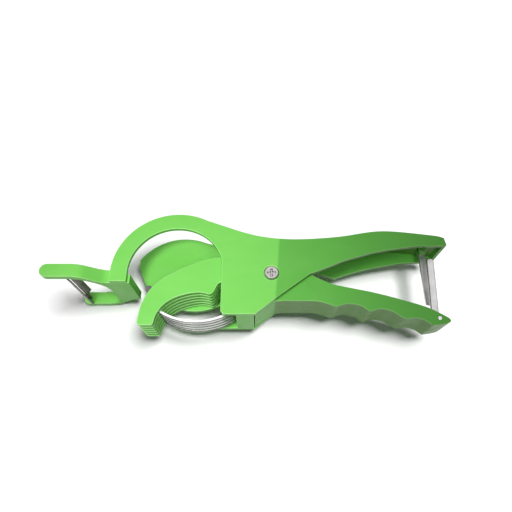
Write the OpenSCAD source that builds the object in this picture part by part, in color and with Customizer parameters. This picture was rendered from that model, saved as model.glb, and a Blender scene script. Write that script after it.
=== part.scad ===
// Hand vegetable dicer: plier-like handles push a finned comb through curved steel strips, with a swivel
// peeler on a fork at the front. The tool lies flat on its far side, X along it and Z through its thickness.

/* [Body] */
// Thickness over the two cheeks
body_t = 33; // [30:0.5:40]
// Thickness of the upper handle at its end
handle_end_t = 27; // [26:0.5:32]
// Wall of the cheeks and of the arch
wall = 3; // [2.5:0.1:4]
// Thickness of the upper handle's roof
roof = 2.3; // [2:0.1:2.6]
// Reach of the upper handle from the pivot
handle_len = 110; // [100:1:118]
// Thickness of the upper handle's end wall
end_wall = 2.2; // [1.6:0.1:3]
// Place along the handle where its sides start to taper
taper_from = 8; // [2:1:20]

/* [Arch] */
// Outer radius of the arch
arch_r = 39.3; // [36:0.1:42]
// Width of the arch's band
arch_band = 10.3; // [8:0.1:12]
// Radius of the far guard lobe
lobe_r = 36.6; // [33:0.1:38]

/* [Cutter] */
// Number of strips
strip_count = 5; // [3:2:5]
// Distance from strip to strip
strip_pitch = 4.7; // [4.4:0.1:5]
// Radius of the strips' curve
strip_r = 40.6; // [38:0.1:43]
// Height of a strip
strip_h = 1.8; // [1.4:0.1:2.4]
// Thickness of a strip
strip_w = 0.8; // [0.6:0.1:1.2]
// Thickness of a fin
fin_t = 2.2; // [1.8:0.1:2.4]
// Diameter of the rods that hold the strips
rod_d = 2.2; // [1.8:0.1:2.4]
// Angle that the handles close through
squeeze_angle = 24; // [20:1:25]

/* [Pivot] */
// Diameter of the pivot screw's shank
pivot_d = 4; // [3:0.5:6]
// Radius of the lever's hub
hub_r = 16; // [13:0.5:17]
// Diameter of the pivot screw's head
head_d = 8; // [7:0.5:10]
// Height of the pivot screw's head
head_h = 2.4; // [2:0.1:3]
// Width across the nut's flats
nut_af = 7; // [6:0.5:10]
// Height of the nut
nut_h = 3; // [2.4:0.1:4]
// Radius of the return spring's wire
wire_r = 0.6; // [0.4:0.05:0.8]
// Turns of the return spring
spring_turns = 2.5; // [1.5:1:2.5]

/* [Lever] */
// Thickness of the lever at its hub
lever_t = 24.8; // [20:0.2:25.4]
// Thickness of the lever at its end
lever_end_t = 20.4; // [18:0.2:21]
// Half width of the channel that the stays fold into
channel_half = 7; // [6:0.1:7.6]
// Width of the slot that holds the comb's tongue
tongue_t = 10; // [8:0.5:11]
// Diameter of the pin that keys the comb
comb_pin_d = 4; // [3:0.5:5]

/* [Stays] */
// Diameter of the stays' pins
stay_pin_d = 2.4; // [2:0.1:2.6]
// Length of the lower stay
lower_len = 42; // [34:0.5:42.5]
// Length of the upper stay
upper_len = 36.4; // [30:0.5:37]
// Width of a stay
stay_w = 4.6; // [3.6:0.1:4.8]
// Sheet thickness of a stay
stay_t = 2; // [1:0.1:2.4]
// Distance of each stay from the middle plane
stay_lane = 1.5; // [0.5:0.1:3]

/* [Peeler] */
// Reach of the near arm past the arch
near_reach = 37.7; // [30:0.1:42]
// Reach of the far arm past the arch
far_reach = 27.7; // [27:0.1:34]
// Width over the two arms
fork_t = 52; // [46:0.5:56]
// Thickness of an arm
arm_t = 4.4; // [3.6:0.1:5]
// Height of an arm
arm_h = 8.2; // [7.6:0.1:9.4]
// Diameter of the blade's end pins
trunnion_d = 2.4; // [2:0.1:3]
// Sheet thickness of the blade
blade_sheet = 0.8; // [0.6:0.1:1.2]

/* [Fits] */
// Gap between the comb or lever and the cheeks
side_gap = 0.6; // [0.4:0.05:1]
// Radial clearance of a turning pin
run_gap = 0.06; // [0.02:0.01:0.1]
// Gap all round a strip's end in its slot
slot_gap = 0.15; // [0.1:0.05:0.2]

/* [Hidden] */
$fn = 96;
cut = 1;
steps = 6;

// Half thicknesses through Z
body_half = body_t / 2;
inner_half = body_half - wall;
end_half = handle_end_t / 2;
end_inner = end_half - 2.5;
comb_half = inner_half - side_gap;

// Centre of the arch, seen from the pivot
arch_c = [-58, 1.2];
arch_inner = arch_r - arch_band;
arch_left = arch_c[0] - arch_r;

// Curve of a strip: a wide arc under the comb, a tighter one up behind the fins, and a straight rear end
strip_c = [-45, 12.5];
rear_dir = -55;
bend_dir = -120;
front_dir = -178;
bend_r = 18;
bend_c = strip_c + (strip_r - bend_r) * [cos(bend_dir), sin(bend_dir)];
rear_bend = strip_c + strip_r * [cos(rear_dir), sin(rear_dir)];
rear_at = rear_bend + [4.1, 1.4];
front_at = bend_c + bend_r * [cos(front_dir), sin(front_dir)];
tail_at = front_at + [-6.7, 9.9];

// Points of an arc, and a smooth curve through hand-chosen points
function arc(c, r, from, to, n) =
    [for (i = [0:n]) let (a = from + (to - from) * i / n) c + r * [cos(a), sin(a)]];
function blend(a, b, c, d, t) = 0.5 * (2 * b + (c - a) * t + (2 * a - 5 * b + 4 * c - d) * t * t
    + (3 * b - a - 3 * c + d) * t * t * t);
function curve(p) = concat([for (i = [0:len(p) - 2], k = [0:steps - 1])
    blend(p[max(i - 1, 0)], p[i], p[i + 1], p[min(i + 2, len(p) - 1)], k / steps)], [p[len(p) - 1]]);
function moved(p, by) = [for (q = p) q + by];
function turned(p, a) = [p[0] * cos(a) - p[1] * sin(a), p[0] * sin(a) + p[1] * cos(a)];

// Both handles grow past their root with the handle's reach, and the lever's tip stays inside the end wall
root_x = 30;
tip_gap = 0.8;
lever_tip = sqrt(pow(handle_len - end_wall - tip_gap, 2) + pow(19.2, 2) - pow(27.4, 2));
handle_stretch = (handle_len - root_x) / 80;
lever_stretch = (lever_tip - root_x) / 75.2;
function stretched(p, by) = [for (q = p) [q[0] > root_x ? root_x + (q[0] - root_x) * by : q[0], q[1]]];

// Top edge of the upper handle, from above the cheek to the handle's end
roof_from = [-19.3, 28.5];
handle_top = stretched([roof_from, [-6.8, 25], [8.7, 23.1], [24.4, 23.4], [43.4, 25.3], [60, 28.4],
    [70, 29.5], [82, 29.1], [101.9, 27], [106.8, 26.1], [109.2, 25]], handle_stretch);
// Lower edge of the upper handle and of the cheek, back to the front
handle_low = stretched([[110, 19.9], [100.6, 19.3], [90.6, 19], [80, 17.5], [65, 14.7], [53.4, 11.4],
    [43.9, 8.3], [32.3, 3.2], [23.2, -0.3]], handle_stretch);
// Notch of the far wall at the handles' crotch, so light shows between the open handles
far_notch = stretched([[46, 7.4], [40.5, 8.7], [31.7, 12], [25.5, 13], [21.4, 10], [20.4, 3], [23, -4],
    [46, -4]], handle_stretch);
cheek_x = -30;
cheek_y = -25.6;
cheek_low = [[0.6, -17.1], [-9.9, cheek_y], [cheek_x + 2, cheek_y], [cheek_x, cheek_y + 2], [cheek_x, 8.8]];

// Points where a straight edge from the roof's front meets the arch or the lobe as a tangent
function tangent_at(c, r) = let (d = roof_from - c, a = atan2(d[1], d[0]) + acos(r / norm(d)))
    c + (r - 0.3) * [cos(a), sin(a)];
lobe_c = arch_c + [0, 0.3];
near_front = [tangent_at(arch_c, arch_r), roof_from, [roof_from[0], 10], [cheek_x, 10]];
far_front = [tangent_at(lobe_c, lobe_r), roof_from, [roof_from[0], 10], [cheek_x, 10]];

// Block that holds the rear ends of the strips
block_low = [-21, cheek_y];
block_high = [-10.5, -16.5];

// Bar of the fork, pinned to the foot of the arch
bar_right = -85.6;
bar_low = -5.2;
bar_high = 0.4;
root_high = 3.2;
fork_pins_at = [[-94.6, -2.4], [-89.4, -2.4]];

// Hook-shaped outline of the comb's fins
fin_back = [[-24, 12.6], [-31, 12.1], [-40.8, 10.2], [-49.8, 6.7], [-58.7, 2.3], [-66, -2.1], [-72.2, -8.2],
    [-75.6, -14.4], [-77.6, -20.5], [-78.6, -29.4]];
fin_tip = [[-77.4, -31.1], [-70, -31.1]];
fin_front = [[-69, -29.6], [-67.6, -24], [-63.6, -18.2], [-57.4, -14.2], [-50, -11.8], [-43.6, -11],
    [-39.4, -11.6], [-37, -12.2], [-34.6, -10.4], [-32, -5.4], [-28, -4]];
tongue_r = 8;
comb_pin_at = [-13, 1];
web_c = turned(strip_c, -squeeze_angle);
web_r = strip_r - strip_h / 2 - 6;

// Lever, from the hub to the end of the lower handle
lever_top = stretched([[13, 9.5], [24, 1.2], [35.5, -4.5], [44.4, -6.8], [61, -10.2], [76, -14.2],
    [92, -19.2], [101, -23.8], [104.8, -26.2]], lever_stretch);
lever_low = stretched([[105.2, -27.4], [104.2, -28.7], [99.9, -29.9], [95.2, -30.5], [93.6, -30.2],
    [91.4, -28.6], [88.4, -27], [84, -26.1], [79, -26.7], [75.6, -25.2], [71.7, -22.5], [66, -20.8],
    [61.6, -21.3], [57.8, -22.2], [53, -19], [47.1, -17.7], [42.5, -18.2], [38.3, -19.4], [32.5, -17.6],
    [26.7, -16.3], [17, -16.1], [7, -16.1], [1, -16.8]], lever_stretch);
heel_x = block_high[0] + side_gap;
heel_y = -24.8;
channel_floor = stretched([[27, -8.5], [47, -15.4], [66.8, -18.9], [84.2, -24.2], [90, -25.6], [95, -28.7],
    [100.6, -28.6], [102.3, -27]], lever_stretch);
channel_end = channel_floor[len(channel_floor) - 1][0];
lever_end_x = max([for (p = curve(concat(lever_top, lever_low))) p[0]]);

// Pins of the two stays, and the way each stay points at rest
lower_pin_at = stretched([[99, -26]], lever_stretch)[0];
lower_dir = 85.5;
upper_pin_at = [handle_len - 10.4, 22.3];
upper_dir = 269.5;
lug_t = 1.9;
lug_gap = 0.2;
lug_far = -stay_lane - stay_t - lug_gap;
lug_near = -stay_lane + lug_gap;

// Peeler arms and blade
near_tip = arch_left - near_reach;
far_tip = arch_left - far_reach;
arm_y = -2.1;
arm_half = arm_h / 2;
fork_half = fork_t / 2;
blade_at = [-121, arm_y];
blade_r = 7;
blade_turn = -72;
blade_half = fork_half - arm_t - 1;

// The box of the whole tool is centred over the origin, with its lowest face at Z 0
lever_lowest = min([for (p = curve(lever_low)) p[1]]);
centre_x = (near_tip + handle_len) / 2;
centre_y = (arch_c[1] + arch_r + min(lever_lowest, fin_tip[0][1])) / 2;
function strip_z(i) = (i - (strip_count + 1) / 2) * strip_pitch;
function fin_z(i) = (i - strip_count / 2) * strip_pitch;
echo(pivot_at = [-centre_x, -centre_y, fork_half], lower_pin = lower_pin_at - [centre_x, centre_y],
    upper_pin = upper_pin_at - [centre_x, centre_y],
    blade_pin_at = blade_at - [centre_x, centre_y]);

// Puts the tool's frame, pivot at the middle, into the part's frame
module placed() translate([-centre_x, -centre_y, fork_half]) children();

// Outline extruded between two heights
module slab(low, high) translate([0, 0, low]) linear_extrude(high - low) children();

// Tapered bar of stock seen from above, wide over the cheeks and narrower at the handle's end
module stock(half, half_end, from_x, to_x)
    translate([0, 80, 0]) rotate([90, 0, 0]) linear_extrude(160)
        polygon([[from_x, -half], [taper_from, -half], [to_x, -half_end], [to_x, half_end],
            [taper_from, half], [from_x, half]]);

module pin_hole(at, d, low, high) translate([at[0], at[1], low]) cylinder(d = d, h = high - low);

module cheek_outline()
    polygon(concat(curve(handle_top), curve(handle_low), cheek_low));

// Near side: half ring with a straight foot beside the fork's bar
module arch_outline() {
    intersection() {
        difference() {
            translate(arch_c) circle(r = arch_r);
            translate(arch_c) circle(r = arch_inner);
        }
        translate([arch_left - cut, arch_c[1]]) square([2 * arch_r + 2 * cut, arch_r + cut]);
    }
    translate([arch_left, bar_low]) square([arch_band, arch_c[1] - bar_low]);
}

// Far side: guard lobe behind the comb, and the rail that follows the strips to the front rod
module lobe_outline()
    intersection() {
        translate(lobe_c) circle(r = lobe_r);
        polygon(concat([[-24, 44], [-24, -9.6]],
            curve([[-31, -9.8], [-39.2, -12.8], [-48.9, -14.2], [-58.7, -12.8], [-68.8, -8.8], [-80, -0.5],
                [-88.2, 16.9]]), [[-88.2, 44]]));
    }

module rail_outline() {
    difference() {
        translate(strip_c) circle(r = strip_r - 1.9);
        translate(strip_c) circle(r = strip_r - 5);
        translate([arch_left, 2]) square([120, 80]);
        translate([block_low[0], cheek_y - 20]) square([60, 100]);
    }
    translate([cheek_x - 8, cheek_y]) square([10, 4]);
    translate(front_at) circle(r = rod_d + 1);
}

module upper_shell()
    difference() {
        intersection() {
            slab(-body_half, body_half) cheek_outline();
            stock(body_half, end_half, arch_left, handle_len);
        }
        // Hollow between the cheeks and under the roof
        intersection() {
            slab(-body_half, body_half)
                polygon(concat([[-60, 70], [roof_from[0] - 4, 70]],
                    moved(curve(handle_top), [0, -roof]), [[handle_len, -70], [-60, -70]]));
            stock(inner_half, end_inner, -80, handle_len - end_wall);
        }
    }

module upper_body() color("limegreen") placed() difference() {
    union() {
        upper_shell();
        slab(inner_half, body_half) {
            arch_outline();
            polygon(near_front);
        }
        slab(-body_half, -inner_half) {
            lobe_outline();
            polygon(far_front);
            rail_outline();
        }
        slab(-inner_half, inner_half) translate(block_low) square(block_high - block_low);
        // Stop for the return spring's upper leg
        slab(spring_top - 1.4, inner_half) translate([spring_r + wire_r + 0.05, hub_r + 1]) square([2.4, 5]);
        // Two lugs under the roof for the upper stay's pin
        for (low = [lug_far - lug_t, lug_near]) slab(low, low + lug_t) translate(upper_pin_at) {
            circle(d = stay_w);
            translate([-stay_w / 2, 0]) square([stay_w, 3.7]);
        }
    }
    slab(-body_half - cut, -inner_half + 2) polygon(far_notch);
    // Pivot bore, head recess and nut pocket
    pin_hole([0, 0], pivot_d, -body_half - cut, body_half + cut);
    pin_hole([0, 0], head_d + 1.4, body_half - wall / 2, body_half + cut);
    translate([0, 0, -body_half - cut]) cylinder(d = nut_af / cos(30), h = wall / 2 + cut, $fn = 6);
    // Rods, and slots for the strips' ends
    pin_hole(rear_at, rod_d, -inner_half - wall / 2, inner_half + wall / 2);
    pin_hole(front_at, rod_d, -inner_half - wall / 2, 0);
    for (at = fork_pins_at) pin_hole(at, rod_d, inner_half - cut, inner_half + wall / 2);
    strip_slots();
    pin_hole(upper_pin_at, stay_pin_d, lug_far - lug_t - cut, lug_near + lug_t + cut);
}

// Slots for the straight rear ends of the strips, round the rear rod
rear_slope = atan2(rear_at[1] - rear_bend[1], rear_at[0] - rear_bend[0]);
module strip_slots()
    for (i = [1:strip_count])
        translate([rear_at[0], rear_at[1], strip_z(i) - strip_w / 2 - slot_gap])
            linear_extrude(strip_w + 2 * slot_gap) {
                circle(r = rod_d + slot_gap);
                rotate(rear_slope) translate([-9, -strip_h / 2 - 2 * slot_gap])
                    square([9, strip_h + 4 * slot_gap]);
            }

// One edge of a strip's curve, at a distance to the outside of its middle line
function strip_edge(out) = concat([rear_at + out * [sin(rear_slope), -cos(rear_slope)]],
    arc(strip_c, strip_r + out, rear_dir, bend_dir, 20),
    arc(bend_c, bend_r + out, bend_dir - 3, front_dir, 18));
function reversed(p) = [for (i = [len(p) - 1:-1:0]) p[i]];

module cutting_strip(i) color("gainsboro") placed()
    translate([0, 0, strip_z(i) - strip_w / 2]) difference() {
        linear_extrude(strip_w) {
            polygon(concat(strip_edge(strip_h / 2), reversed(strip_edge(-strip_h / 2))));
            for (at = [front_at, rear_at]) translate(at) circle(r = rod_d);
        }
        for (at = [front_at, rear_at]) pin_hole(at, rod_d, -cut, strip_w + cut);
    }

module rod(at) color("silver") placed() pin_hole(at, rod_d, -inner_half - wall / 2, inner_half + wall / 2);

// The front rod stands in the far rail, with a tail that lies along the lobe's inner face
module front_rod() color("silver") placed() {
    pin_hole(front_at, rod_d, -inner_half - wall / 2, strip_z(strip_count) + strip_w / 2 + 0.6);
    translate([front_at[0], front_at[1], -inner_half + rod_d / 2 + 0.1])
        rotate(atan2(tail_at[1] - front_at[1], tail_at[0] - front_at[0])) rotate([0, 90, 0])
            cylinder(d = rod_d, h = norm(tail_at - front_at));
}

// Fork: bar under the arch, and two arms that splay outward
module fork_plan(side, tip, bar_half) {
    arm_in = fork_half - arm_t;
    rise = fork_half - bar_half;
    splay = side > 0
        ? [[-0.3, 0], [-4, rise * 0.13], [-9, rise * 0.5], [-14, rise * 0.86], [-19, rise]]
        : [[9, 0], [5.5, rise * 0.16], [1, rise * 0.55], [-3.5, rise * 0.88], [-9, rise]];
    corner = side > 0
        ? [[-20, 0], [-15, 1.6], [-10, 5.4], [-5.6, 10.4], [-3, arm_in - 5], [-2.4, arm_in]]
        : [[-9, 0], [-5.6, 0.5], [-3.5, 2.2], [-2.6, 5], [-2.4, arm_in - 5], [-2.4, arm_in]];
    polygon(concat([[bar_right, 0], [bar_right, side * bar_half]],
        curve([for (p = splay) [arch_left + p[0], side * (bar_half + p[1])]]),
        [[tip, side * fork_half], [tip, side * arm_in]],
        curve([for (p = corner) [arch_left + p[0], side * (arm_in - p[1])]])));
}

module arm_side(tip) {
    polygon(concat([[bar_right, bar_low]],
        curve([[arch_left, bar_low], [arch_left - 7, arm_y - arm_half + 0.2],
            [arch_left - 14, arm_y - arm_half]]),
        [[tip + arm_half, arm_y - arm_half], [tip + arm_half, arm_y + arm_half]],
        curve([[arch_left - 14, arm_y + arm_half], [arch_left - 7, arm_y + arm_half + 0.5],
            [arch_left - 0.3, root_high]]),
        [[arch_left - 0.3, bar_high], [bar_right, bar_high]]));
    translate([tip + arm_half, arm_y]) circle(r = arm_half);
}

module fork_half_solid(side, tip, bar_half)
    intersection() {
        slab(-fork_half, fork_half) arm_side(tip);
        translate([0, 30, 0]) rotate([90, 0, 0]) linear_extrude(60) fork_plan(side, tip, bar_half);
    }

module peeler_fork() color("limegreen") placed() difference() {
    union() {
        fork_half_solid(1, near_tip, inner_half);
        fork_half_solid(-1, far_tip, body_half);
    }
    for (at = fork_pins_at) pin_hole(at, rod_d, -inner_half, body_half);
    pin_hole(blade_at, trunnion_d + 2 * run_gap, -fork_half + 1.2, fork_half - 1.2);
}

module fork_pins() color("silver") placed()
    for (at = fork_pins_at) pin_hole(at, rod_d, -inner_half, inner_half + wall / 2);

// Swivel blade: a trough with a slit, cut edge along the slit, and a pin at each end
module peeler_blade() color("silver") placed() {
    translate([blade_at[0], blade_at[1], -blade_half]) rotate(blade_turn) difference() {
        translate([0, blade_r - 1.6, 0]) intersection() {
            difference() {
                cylinder(r = blade_r, h = 2 * blade_half);
                translate([0, 0, -cut]) cylinder(r = blade_r - blade_sheet, h = 2 * blade_half + 2 * cut);
            }
            linear_extrude(2 * blade_half) polygon([[0, 0], [-12, -8.4], [0, -20], [12, -8.4]]);
        }
        translate([-1.2, -6, 5]) cube([2.4, 6, 2 * blade_half - 10]);
    }
    for (side = [-1, 1]) {
        pin_hole(blade_at, trunnion_d, side > 0 ? blade_half - 4 : -fork_half + 1.8,
            side > 0 ? fork_half - 1.8 : -blade_half + 4);
    }
}

// Lever: hub, heel and lower handle, hollow on top, slotted for the comb's tongue
module lever_outline()
    polygon(concat([[heel_x, heel_y]], arc([0, 0], hub_r, -acos(heel_x / hub_r), 42 - 360, 30),
        curve(lever_top), curve(lever_low)));

module lower_lever() color("limegreen") placed() difference() {
    intersection() {
        slab(-body_half, body_half) lever_outline();
        stock(lever_t / 2, lever_end_t / 2, near_tip, lever_end_x);
    }
    slab(-channel_half, channel_half)
        polygon(concat([[27, 40]], channel_floor, [[channel_end, 40]]));
    slab(-tongue_t / 2, tongue_t / 2) {
        circle(r = tongue_r + 0.4);
        translate([-40, -9.4]) square([40, 40]);
    }
    // Pocket of the return spring, open above for its leg
    slab(tongue_t / 2 + 1, body_half) {
        circle(r = 7.6);
        translate([-2, 0]) square([11, 30]);
    }
    pin_hole([0, 0], pivot_d + 2 * run_gap, -body_half, body_half);
    pin_hole(comb_pin_at, comb_pin_d, -body_half, body_half);
    pin_hole(lower_pin_at, stay_pin_d, -body_half, body_half);
}

module fin_outline()
    polygon(concat(curve(fin_back), fin_tip, curve(fin_front), [[-24, -4]]));

module pusher_comb() color("limegreen") placed() difference() {
    union() {
        for (i = [0:strip_count]) slab(fin_z(i) - fin_t / 2, fin_z(i) + fin_t / 2) fin_outline();
        // Web that joins the fins, clear of the strips when the handles are closed
        slab(fin_z(0) - fin_t / 2, fin_z(strip_count) + fin_t / 2) intersection() {
            fin_outline();
            translate(web_c) circle(r = web_r);
        }
        slab(-tongue_t / 2, tongue_t / 2) {
            circle(r = tongue_r);
            translate([-26, -4]) square([26, 12]);
        }
    }
    pin_hole([0, 0], pivot_d + 2 * run_gap, -body_half, body_half);
    pin_hole(comb_pin_at, comb_pin_d, -body_half, body_half);
}

module comb_pin() color("silver") placed() pin_hole(comb_pin_at, comb_pin_d, -lever_t / 2, lever_t / 2);

// Pivot screw with a cross recess in its head, its nut and one thrust washer
module pivot_screw() color("silver") placed() difference() {
    union() {
        pin_hole([0, 0], pivot_d, -body_half - 1, body_half);
        pin_hole([0, 0], head_d, body_half - wall / 2, body_half - wall / 2 + head_h);
    }
    translate([0, 0, body_half - wall / 2 + head_h]) for (a = [0, 90])
        rotate(a) cube([head_d * 0.6, 1.1, 2.6], center = true);
}

module pivot_nut() color("silver") placed() translate([0, 0, -body_half + wall / 2 - nut_h]) difference() {
    cylinder(d = nut_af / cos(30), h = nut_h, $fn = 6);
    translate([0, 0, -cut]) cylinder(d = pivot_d, h = nut_h + 2 * cut);
}

module pivot_washer() color("silver") placed() difference() {
    pin_hole([0, 0], 12, -inner_half, -lever_t / 2 - 0.1);
    pin_hole([0, 0], pivot_d, -inner_half - cut, -lever_t / 2 + cut);
}

// Return spring: one wire wound round the pivot, with a leg to the roof and one to the lever
spring_r = 5.8;
spring_low = tongue_t / 2 + 2;
spring_rise = 2.1;
spring_ring = 8;
spring_sides = 6;
coil_count = round(spring_turns * spring_ring);
spring_top = spring_low + spring_rise * spring_turns;
function coil_at(i) = let (a = 180 - 360 * i / spring_ring)
    [spring_r * cos(a), spring_r * sin(a), spring_low + spring_rise * i / spring_ring];
coil = [for (i = [0:coil_count]) coil_at(i)];
spring_path = concat([coil[0] + [0, -3.4, 0]], coil, [coil[coil_count] + [0, hub_r + 2.5, 0]]);
spring_gap = min([for (i = [0:coil_count - 5], j = [i + 5:coil_count]) norm(coil[i] - coil[j])]) - 2 * wire_r;
echo(spring_gap = spring_gap);
function heading(i) = let (a = spring_path[max(i - 1, 0)], b = spring_path[min(i + 1, len(spring_path) - 1)])
    (b - a) / norm(b - a);
function ring_at(i) = let (t = heading(i), across = cross([0, 0, 1], t), u = across / norm(across),
    v = cross(t, u))
    [for (k = [0:spring_sides - 1]) let (a = 360 * k / spring_sides)
        spring_path[i] + wire_r * (cos(a) * u + sin(a) * v)];

module return_spring() color("silver") placed() {
    n = len(spring_path);
    s = spring_sides;
    walls = [for (i = [0:n - 2], k = [0:s - 1]) let (a = i * s + k, b = i * s + (k + 1) % s)
        each [[a, a + s, b], [b, a + s, b + s]]];
    ends = [for (k = [1:s - 2]) each [[0, k, k + 1], [(n - 1) * s, (n - 1) * s + k + 1, (n - 1) * s + k]]];
    polyhedron([for (i = [0:n - 1]) each ring_at(i)], concat(walls, ends));
}

// Stays: flat straps, each turning on a pin in its own handle and sliding past the other
module stay(at, dir, length, low) color("gainsboro") placed() translate([at[0], at[1], low]) rotate(dir)
    linear_extrude(stay_t) difference() {
        union() {
            circle(d = stay_w);
            translate([0, -stay_w / 2]) square([length - stay_w / 2, stay_w]);
            translate([length - stay_w / 2, 0]) circle(d = stay_w);
        }
        circle(d = stay_pin_d + 2 * run_gap);
    }

module stay_lower() stay(lower_pin_at, lower_dir, lower_len, stay_lane);

module stay_upper() stay(upper_pin_at, upper_dir, upper_len, -stay_lane - stay_t);

module stay_pin_lower() color("silver") placed() intersection() {
    pin_hole(lower_pin_at, stay_pin_d, -body_half, body_half);
    stock(lever_t / 2, lever_end_t / 2, near_tip, lever_end_x);
}

module stay_pin_upper() color("silver") placed()
    pin_hole(upper_pin_at, stay_pin_d, lug_far - lug_t, lug_near + lug_t);

upper_body();
peeler_fork();
fork_pins();
peeler_blade();
lower_lever();
pusher_comb();
comb_pin();
cutting_strip(1);  // cutting_strip_1
cutting_strip(2);  // cutting_strip_2
cutting_strip(3);  // cutting_strip_3
cutting_strip(4);  // cutting_strip_4
cutting_strip(5);  // cutting_strip_5
front_rod();
rod(rear_at);  // rear_rod
pivot_screw();
pivot_nut();
pivot_washer();
return_spring();
stay_lower();
stay_upper();
stay_pin_lower();
stay_pin_upper();
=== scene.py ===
"""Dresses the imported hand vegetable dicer: green plastic and steel, lying on a white floor."""
import bpy
import math
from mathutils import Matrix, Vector


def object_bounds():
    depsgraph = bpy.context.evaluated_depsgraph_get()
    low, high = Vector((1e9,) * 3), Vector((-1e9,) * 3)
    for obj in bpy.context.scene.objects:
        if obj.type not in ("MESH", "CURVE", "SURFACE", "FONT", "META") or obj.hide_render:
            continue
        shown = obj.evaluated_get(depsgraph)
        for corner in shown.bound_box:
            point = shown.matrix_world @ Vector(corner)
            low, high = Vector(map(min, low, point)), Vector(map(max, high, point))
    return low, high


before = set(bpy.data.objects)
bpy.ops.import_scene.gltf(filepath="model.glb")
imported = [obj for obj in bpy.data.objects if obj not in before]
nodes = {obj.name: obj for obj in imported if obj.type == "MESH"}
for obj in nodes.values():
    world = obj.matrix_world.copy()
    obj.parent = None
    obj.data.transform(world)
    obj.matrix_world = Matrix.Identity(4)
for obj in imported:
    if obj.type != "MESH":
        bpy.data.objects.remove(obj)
cad_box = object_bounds()
scene = bpy.context.scene
scene.view_settings.view_transform = "Standard"

# Camera, at the photograph's viewing angle: from above and a little from the side of the lower handle
CAMERA_PLACE = (0.0032, -0.1075, 0.287)
CAMERA_TILT = math.radians(25)
CAMERA_LENS = 31.08
CAMERA_SENSOR = 36
CAMERA_NEAR = 0.01
CAMERA_FAR = 20

# World and floor, each with one value for rays that are seen and one for rays that only carry light
WHITE = (1, 1, 1, 1)
WORLD_SEEN = 1
WORLD_LIGHT = 0.12
FLOOR_SEEN = (0.96, 0.96, 0.96, 1)
FLOOR_LIGHT = (0.3, 0.3, 0.3, 1)
FLOOR_REACH = 3.0
FLOOR_GAP = 0.0002

# Plastic pieces, the width of their rounded edges, and the length up to which an edge stays sharp
PLASTIC = ("upper_body", "lower_lever", "peeler_fork", "pusher_comb")
PLASTIC_EDGE = 0.0004
PLASTIC_SEGMENTS = 3
SHORT_EDGE = 0.0004

# Steel pieces with the width of their edges: edges of the same steel, edges with painted shade, and none
STRIPS = ["cutting_strip_%d" % number for number in range(1, 6)]
STRIP_EDGE = 0.00012
STEEL_EDGES = {
    "pivot_nut": 0.00025, "stay_pin_lower": 0.0003, "stay_pin_upper": 0.0003, "peeler_blade": 0.0001}
for name in STRIPS:
    STEEL_EDGES[name] = STRIP_EDGE
# The pivot screw's rim and cross recess and the stays' edges take dark steel: painted shade
PAINTED_SHADE_EDGES = {"pivot_screw": 0.0004, "stay_lower": 0.0005, "stay_upper": 0.0005}
PLAIN_STEEL = ("front_rod", "rear_rod", "fork_pins", "comb_pin", "pivot_washer", "return_spring")
STEEL_SEGMENTS = 2

# Material slot of an edge: that of the faces beside it, or the second one, which holds the painted highlight
# on the plastic and the painted shade on the steel
SAME_SLOT = -1
EDGE_SLOT = 1

# Gap that is closed between points, angle up to which faces are joined, and angle of a steep edge
POINT_GAP = 0.000002
FLAT_ANGLE = math.radians(0.3)
STEEP = math.radians(34)

# Part of the noise that colours and roughness are spread over
NOISE_LOW = 0.3
NOISE_HIGH = 0.7

# Green of the faces and of the edges, from dark to light, with the noise at which each tone stands; the
# edges' lighter green is a painted highlight
BODY_TONES = [(0.194, 0.648, 0.100), (0.204, 0.662, 0.108), (0.216, 0.676, 0.116)]
EDGE_HIGHLIGHT_TONES = [(0.330, 0.790, 0.210), (0.365, 0.815, 0.240), (0.400, 0.840, 0.270)]
FLOW_STOPS = (0.32, 0.5, 0.7)

# Line where the handles start, and how much darker their green is painted: painted shade where their faces
# turn from the light
HANDLE_SHADE_FROM = 0.0163
HANDLE_SHADE_WAY = (1, -0.08, 0)
HANDLE_SHADE_BLUR = 0.0007
HANDLE_SHADE_TONE = (0.62, 0.72, 0.63)

# Faces of the handles that face -Y, with more painted shade
SHADED_SIDE = (0, -1, 0)
SIDE_SHADE_FROM = 0.6
SIDE_SHADE_BLUR = 0.2
SIDE_SHADE_TONE = (0.75, 0.55, 0.5)

# Strips: bright on the inside of their curve, with painted shade on their back, and darker where they wrap
# the front rod
STRIP_AXIS = (-0.0325, 0.0078, 0)
SHADED_BACK_FROM = 0.04105
SHADED_BACK_BLUR = 0.00008
LENGTHWISE = (1, 0, 0)
DARK_FRONT_TO = -0.0575
DARK_FRONT_BLUR = 0.002
# Dark steel: the front rod's own tone, and painted shade on the strips' backs, the pivot screw's rim and
# cross recess, and the stays' edges; also the strips' darker front ends
ROD_AND_SHADE_DARK = (0.09, 0.09, 0.085)
ROD_AND_SHADE_LIGHT = (0.16, 0.16, 0.15)


# Camera
def add_camera():
    data = bpy.data.cameras.new("camera")
    data.lens = CAMERA_LENS
    data.sensor_width = CAMERA_SENSOR
    data.clip_start = CAMERA_NEAR
    data.clip_end = CAMERA_FAR
    camera = bpy.data.objects.new("camera", data)
    scene.collection.objects.link(camera)
    camera.location = CAMERA_PLACE
    camera.rotation_euler = (CAMERA_TILT, 0, 0)
    scene.camera = camera


# Lamps, world and floor
def add_lamp(data, place, aim):
    lamp = bpy.data.objects.new(data.name, data)
    scene.collection.objects.link(lamp)
    lamp.location = place
    lamp.rotation_euler = (Vector(aim) - Vector(place)).to_track_quat("-Z", "Y").to_euler()
    return lamp


def add_area(name, place, aim, size, power):
    data = bpy.data.lights.new(name, "AREA")
    data.shape = "DISK"
    data.size = size
    data.energy = power
    return add_lamp(data, place, aim)


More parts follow.
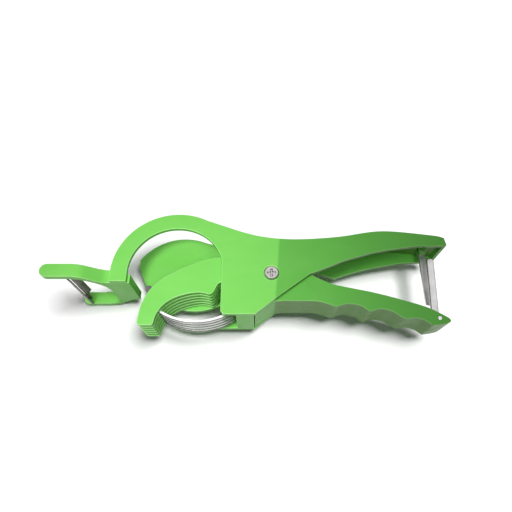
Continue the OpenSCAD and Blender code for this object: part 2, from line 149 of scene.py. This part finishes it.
def add_spot(name, place, aim, size, power, cone):
    data = bpy.data.lights.new(name, "SPOT")
    data.shadow_soft_size = size
    data.energy = power
    data.spot_size = math.radians(cone)
    data.spot_blend = 1
    return add_lamp(data, place, aim)


def add_sun(name, place, aim, spread, power):
    data = bpy.data.lights.new(name, "SUN")
    data.angle = math.radians(spread)
    data.energy = power
    return add_lamp(data, place, aim)


def light_floor(floor, lamps, state):
    """Let the lamps light only the floor, or all but the floor."""
    group = bpy.data.collections.new("floor_" + state.lower())
    group.objects.link(floor)
    group.collection_objects[0].light_linking.link_state = state
    for lamp in lamps:
        lamp.light_linking.receiver_collection = group


def seen_or_light(tree, seen, light, out):
    """One shader for rays from the camera, gloss and glass, and another for rays that only carry light."""
    path = tree.nodes.new("ShaderNodeLightPath")
    first = tree.nodes.new("ShaderNodeMath")
    first.operation = "MAXIMUM"
    second = tree.nodes.new("ShaderNodeMath")
    second.operation = "MAXIMUM"
    mix = tree.nodes.new("ShaderNodeMixShader")
    tree.links.new(path.outputs["Is Camera Ray"], first.inputs[0])
    tree.links.new(path.outputs["Is Glossy Ray"], first.inputs[1])
    tree.links.new(first.outputs[0], second.inputs[0])
    tree.links.new(path.outputs["Is Transmission Ray"], second.inputs[1])
    tree.links.new(second.outputs[0], mix.inputs["Fac"])
    tree.links.new(light.outputs[0], mix.inputs[1])
    tree.links.new(seen.outputs[0], mix.inputs[2])
    tree.links.new(mix.outputs[0], out.inputs["Surface"])


def add_background(tree, strength):
    background = tree.nodes.new("ShaderNodeBackground")
    background.inputs["Color"].default_value = WHITE
    background.inputs["Strength"].default_value = strength
    return background


def add_world():
    world = bpy.data.worlds.new("studio")
    scene.world = world
    world.use_nodes = True
    tree = world.node_tree
    tree.nodes.clear()
    out = tree.nodes.new("ShaderNodeOutputWorld")
    seen_or_light(tree, add_background(tree, WORLD_SEEN), add_background(tree, WORLD_LIGHT), out)


def add_diffuse(tree, tone):
    diffuse = tree.nodes.new("ShaderNodeBsdfDiffuse")
    diffuse.inputs["Color"].default_value = tone
    return diffuse


def add_floor():
    low = cad_box[0].z - FLOOR_GAP
    corners = [(-1, -1), (1, -1), (1, 1), (-1, 1)]
    mesh = bpy.data.meshes.new("floor")
    mesh.from_pydata([(x * FLOOR_REACH, y * FLOOR_REACH, low) for x, y in corners], [], [(0, 1, 2, 3)])
    floor = bpy.data.objects.new("floor", mesh)
    scene.collection.objects.link(floor)
    material = bpy.data.materials.new("floor")
    material.use_nodes = True
    tree = material.node_tree
    tree.nodes.clear()
    out = tree.nodes.new("ShaderNodeOutputMaterial")
    seen_or_light(tree, add_diffuse(tree, FLOOR_SEEN), add_diffuse(tree, FLOOR_LIGHT), out)
    mesh.materials.append(material)
    return floor


# Parts of a material
def start_material(name):
    material = bpy.data.materials.new(name)
    material.use_nodes = True
    tree = material.node_tree
    shader = tree.nodes["Principled BSDF"]
    coordinates = tree.nodes.new("ShaderNodeTexCoord")
    return material, tree, shader, coordinates.outputs


def add_noise(tree, place, scale, detail, stretch=None):
    noise = tree.nodes.new("ShaderNodeTexNoise")
    noise.inputs["Scale"].default_value = scale
    noise.inputs["Detail"].default_value = detail
    if stretch:
        mapping = tree.nodes.new("ShaderNodeMapping")
        mapping.inputs["Scale"].default_value = stretch
        tree.links.new(place, mapping.inputs["Vector"])
        place = mapping.outputs["Vector"]
    tree.links.new(place, noise.inputs["Vector"])
    return noise.outputs["Fac"]


def add_ramp(tree, value, stops, tones):
    ramp = tree.nodes.new("ShaderNodeValToRGB")
    elements = ramp.color_ramp.elements
    while len(elements) < len(stops):
        elements.new(0.5)
    for element, at, tone in zip(elements, stops, tones):
        element.position = at
        element.color = (*tone, 1)
    tree.links.new(value, ramp.inputs["Fac"])
    return ramp.outputs["Color"]


def add_roughness(tree, shader, value, low, high):
    spread = tree.nodes.new("ShaderNodeMapRange")
    spread.inputs["From Min"].default_value = NOISE_LOW
    spread.inputs["From Max"].default_value = NOISE_HIGH
    spread.inputs["To Min"].default_value = low
    spread.inputs["To Max"].default_value = high
    tree.links.new(value, spread.inputs["Value"])
    tree.links.new(spread.outputs["Result"], shader.inputs["Roughness"])


def add_bump(tree, shader, value, strength, height):
    bump = tree.nodes.new("ShaderNodeBump")
    bump.inputs["Strength"].default_value = strength
    bump.inputs["Distance"].default_value = height
    tree.links.new(value, bump.inputs["Height"])
    tree.links.new(bump.outputs["Normal"], shader.inputs["Normal"])


def along(tree, value, way):
    """How far a place or a normal reaches along a way."""
    reach = tree.nodes.new("ShaderNodeVectorMath")
    reach.operation = "DOT_PRODUCT"
    reach.inputs[1].default_value = way
    tree.links.new(value, reach.inputs[0])
    return reach.outputs["Value"]


def off_axis(tree, place, axis):
    """How far a place is from an upright axis."""
    flat = tree.nodes.new("ShaderNodeVectorMath")
    flat.operation = "MULTIPLY"
    flat.inputs[1].default_value = (1, 1, 0)
    tree.links.new(place, flat.inputs[0])
    reach = tree.nodes.new("ShaderNodeVectorMath")
    reach.operation = "DISTANCE"
    reach.inputs[1].default_value = axis
    tree.links.new(flat.outputs["Vector"], reach.inputs[0])
    return reach.outputs["Value"]


def change_at(tree, measure, at, blur, before, after):
    """One tone where the measure is below a limit, and another above it."""
    spread = tree.nodes.new("ShaderNodeMapRange")
    spread.inputs["From Min"].default_value = at - blur
    spread.inputs["From Max"].default_value = at + blur
    tree.links.new(measure, spread.inputs["Value"])
    mix = tree.nodes.new("ShaderNodeMixRGB")
    tree.links.new(spread.outputs["Result"], mix.inputs["Fac"])
    tree.links.new(before, mix.inputs["Color1"])
    tree.links.new(after, mix.inputs["Color2"])
    return mix.outputs["Color"]


def shaded(tones, share):
    return [[part * less for part, less in zip(tone, share)] for tone in tones]


# Materials
def plastic(name, tones, rough_low, rough_high, side_shade=None):
    """Lime green moulding with faint flow marks and fine grain; painted shade darkens the handles, and more
    of it their faces that face -Y.
    """
    material, tree, shader, coordinates = start_material(name)
    place = coordinates["Object"]
    flow = add_noise(tree, place, scale=38, detail=3, stretch=(1, 2.4, 1.6))
    jaw = add_ramp(tree, flow, FLOW_STOPS, tones)
    # Painted shade: the handles' green is darker
    darker = shaded(tones, HANDLE_SHADE_TONE)
    handles = add_ramp(tree, flow, FLOW_STOPS, darker)
    # Painted shade: the handles' faces that face -Y are darker still
    if side_shade:
        side_shaded = add_ramp(tree, flow, FLOW_STOPS, shaded(darker, side_shade))
        facing = along(tree, coordinates["Normal"], SHADED_SIDE)
        handles = change_at(tree, facing, SIDE_SHADE_FROM, SIDE_SHADE_BLUR, handles, side_shaded)
    base = change_at(tree, along(tree, place, HANDLE_SHADE_WAY), HANDLE_SHADE_FROM, HANDLE_SHADE_BLUR, jaw, handles)
    tree.links.new(base, shader.inputs["Base Color"])
    add_roughness(tree, shader, add_noise(tree, place, scale=160, detail=4), rough_low, rough_high)
    add_bump(tree, shader, add_noise(tree, place, scale=1700, detail=3), strength=0.12, height=0.00005)
    shader.inputs["Specular IOR Level"].default_value = 0.3
    return material


def steel(name, dark, light, rough_low, rough_high, stretch=(1, 1, 1), painted_back_shade=False):
    """Bare steel with drawn or brushed lines along the stretch; on the strips, bright on the inside of the
    curve, with painted shade on the back and darker front ends.
    """
    material, tree, shader, coordinates = start_material(name)
    place = coordinates["Object"]
    lines = add_noise(tree, place, scale=900, detail=4, stretch=stretch)
    clouds = add_noise(tree, place, scale=120, detail=3)
    stops = (NOISE_LOW, NOISE_HIGH)
    base = add_ramp(tree, clouds, stops, (dark, light))
    # Painted shade on the back of the strips' curve, and darker where they wrap the front rod
    if painted_back_shade:
        dark_tone = add_ramp(tree, clouds, stops, (ROD_AND_SHADE_DARK, ROD_AND_SHADE_LIGHT))
        base = change_at(tree, off_axis(tree, place, STRIP_AXIS), SHADED_BACK_FROM, SHADED_BACK_BLUR, base, dark_tone)
        base = change_at(tree, along(tree, place, LENGTHWISE), DARK_FRONT_TO, DARK_FRONT_BLUR, dark_tone, base)
    tree.links.new(base, shader.inputs["Base Color"])
    add_roughness(tree, shader, lines, rough_low, rough_high)
    add_bump(tree, shader, lines, strength=0.12, height=0.00004)
    shader.inputs["Metallic"].default_value = 1
    return material


def dress(names, *materials):
    for name in names:
        slots = nodes[name].data.materials
        slots.clear()
        for material in materials:
            slots.append(material)


# Rounded edges and smooth curved faces, as modifiers over the solids
def start_group(name):
    group = bpy.data.node_groups.new(name, "GeometryNodeTree")
    group.interface.new_socket("Geometry", in_out="INPUT", socket_type="NodeSocketGeometry")
    group.interface.new_socket("Geometry", in_out="OUTPUT", socket_type="NodeSocketGeometry")
    start = group.nodes.new("NodeGroupInput")
    end = group.nodes.new("NodeGroupOutput")
    return group, start.outputs[0], end.inputs[0]


def is_greater(group, value, limit):
    compare = group.nodes.new("FunctionNodeCompare")
    compare.data_type = "FLOAT"
    compare.operation = "GREATER_THAN"
    compare.inputs["B"].default_value = limit
    group.links.new(value, compare.inputs["A"])
    return compare.outputs["Result"]


def smooth_group():
    """Smooth faces, apart from steep edges."""
    group, start, end = start_group("smooth_faces")
    angle = group.nodes.new("GeometryNodeInputMeshEdgeAngle")
    faces = group.nodes.new("GeometryNodeSetShadeSmooth")
    faces.domain = "FACE"
    edges = group.nodes.new("GeometryNodeSetShadeSmooth")
    edges.domain = "EDGE"
    edges.inputs["Shade Smooth"].default_value = False
    group.links.new(start, faces.inputs["Geometry"])
    group.links.new(faces.outputs["Geometry"], edges.inputs["Geometry"])
    group.links.new(is_greater(group, angle.outputs["Unsigned Angle"], STEEP), edges.inputs["Selection"])
    group.links.new(edges.outputs["Geometry"], end)
    return group


def outer_group():
    """Mark the steep edges that stand out, for the bevel, apart from short ones, whose faces would fold."""
    group, start, end = start_group("outer_edges")
    angle = group.nodes.new("GeometryNodeInputMeshEdgeAngle")
    points = group.nodes.new("GeometryNodeInputMeshEdgeVertices")
    length = group.nodes.new("ShaderNodeVectorMath")
    length.operation = "DISTANCE"
    both = group.nodes.new("FunctionNodeBooleanMath")
    both.operation = "AND"
    mark = group.nodes.new("GeometryNodeStoreNamedAttribute")
    mark.data_type = "FLOAT"
    mark.domain = "EDGE"
    mark.inputs["Name"].default_value = "bevel_weight_edge"
    group.links.new(points.outputs["Position 1"], length.inputs[0])
    group.links.new(points.outputs["Position 2"], length.inputs[1])
    group.links.new(is_greater(group, angle.outputs["Signed Angle"], STEEP), both.inputs[0])
    group.links.new(is_greater(group, length.outputs["Value"], SHORT_EDGE), both.inputs[1])
    group.links.new(start, mark.inputs["Geometry"])
    group.links.new(both.outputs[0], mark.inputs["Value"])
    group.links.new(mark.outputs["Geometry"], end)
    return group


def join_faces(thing):
    weld = thing.modifiers.new("weld", "WELD")
    weld.merge_threshold = POINT_GAP
    flat = thing.modifiers.new("flat", "DECIMATE")
    flat.decimate_type = "DISSOLVE"
    flat.angle_limit = FLAT_ANGLE


def smooth_faces(thing, smooth):
    faces = thing.modifiers.new("smooth", "NODES")
    faces.node_group = smooth
    weighted = thing.modifiers.new("weighted", "WEIGHTED_NORMAL")
    weighted.keep_sharp = True


def soften_steel(thing, smooth, width, edge_slot):
    join_faces(thing)
    bevel = thing.modifiers.new("edges", "BEVEL")
    bevel.width = width
    bevel.segments = STEEL_SEGMENTS
    bevel.material = edge_slot
    bevel.limit_method = "ANGLE"
    bevel.angle_limit = STEEP
    bevel.use_clamp_overlap = True
    smooth_faces(thing, smooth)


def soften_plastic(thing, smooth, outer):
    join_faces(thing)
    marks = thing.modifiers.new("outer", "NODES")
    marks.node_group = outer
    bevel = thing.modifiers.new("edges", "BEVEL")
    bevel.width = PLASTIC_EDGE
    bevel.segments = PLASTIC_SEGMENTS
    bevel.material = EDGE_SLOT
    bevel.limit_method = "WEIGHT"
    bevel.use_clamp_overlap = False
    smooth_faces(thing, smooth)


# The scene: the key and fill light the tool from the camera's side, and the wash lights only the floor
add_camera()
add_world()
floor = add_floor()
key = add_spot("key", place=(-0.11, -0.08, 0.43), aim=(-0.040, -0.01, 0.04), size=0.05, power=5.1, cone=42)
top = add_area("top", place=(0.02, 0.60, 0.80), aim=(0, 0, 0), size=0.4, power=0.3)
fill = add_area("fill", place=(0.10, -0.21, 0.58), aim=(0.07, 0, 0.02), size=0.2, power=0.95)
wash = add_sun("wash", place=(0.42, 0.05, 1.5), aim=(0, 0, 0), spread=24, power=3.5)
light_floor(floor, [key, top, fill], "EXCLUDE")
light_floor(floor, [wash], "INCLUDE")

smooth = smooth_group()
outer = outer_group()
for name in PLASTIC:
    soften_plastic(nodes[name], smooth, outer)
for name, width in STEEL_EDGES.items():
    soften_steel(nodes[name], smooth, width, SAME_SLOT)
# Painted shade: dark steel on the bevelled edges of the pivot screw and the stays
for name, width in PAINTED_SHADE_EDGES.items():
    soften_steel(nodes[name], smooth, width, EDGE_SLOT)
for name in PLAIN_STEEL:
    join_faces(nodes[name])
    smooth_faces(nodes[name], smooth)

body = plastic("green_plastic", BODY_TONES, rough_low=0.34, rough_high=0.5, side_shade=SIDE_SHADE_TONE)
# Painted highlight: the plastic's bevelled edges take a lighter green
edge_highlight = plastic("green_edges_painted_highlight", EDGE_HIGHLIGHT_TONES, rough_low=0.28, rough_high=0.4)
blade_steel = steel("blade_steel", dark=(0.09, 0.083, 0.076), light=(0.24, 0.225, 0.21),
                    rough_low=0.3, rough_high=0.46, stretch=(1, 1, 0.05))
rod_and_shade_steel = steel("rod_steel", dark=ROD_AND_SHADE_DARK, light=ROD_AND_SHADE_LIGHT,
                   rough_low=0.3, rough_high=0.46, stretch=(1, 1, 0.1))
# Strips, with painted shade on the back of their curve
strip_steel = steel("strip_steel", dark=(0.66, 0.66, 0.65), light=(0.84, 0.84, 0.82),
                    rough_low=0.24, rough_high=0.34, stretch=(0.1, 0.1, 1), painted_back_shade=True)
screw_steel = steel("screw_steel", dark=(0.40, 0.37, 0.37), light=(0.54, 0.50, 0.50),
                    rough_low=0.22, rough_high=0.36)
stay_steel = steel("stay_steel", dark=(0.52, 0.51, 0.51), light=(0.68, 0.67, 0.67),
                   rough_low=0.26, rough_high=0.44, stretch=(1, 0.06, 1))
pin_steel = steel("pin_steel", dark=(0.66, 0.66, 0.66), light=(0.80, 0.80, 0.80),
                  rough_low=0.2, rough_high=0.36, stretch=(1, 1, 0.1))
spring_steel = steel("spring_steel", dark=(0.50, 0.50, 0.50), light=(0.64, 0.64, 0.64),
                     rough_low=0.22, rough_high=0.4)
dress(PLASTIC, body, edge_highlight)
dress(["peeler_blade"], blade_steel)
dress(STRIPS, strip_steel)
dress(["pivot_screw"], screw_steel, rod_and_shade_steel)
dress(["pivot_nut"], screw_steel)
dress(["stay_lower", "stay_upper"], stay_steel, rod_and_shade_steel)
dress(["front_rod"], rod_and_shade_steel)
dress(["rear_rod", "fork_pins", "comb_pin", "pivot_washer", "stay_pin_lower", "stay_pin_upper"], pin_steel)
dress(["return_spring"], spring_steel)
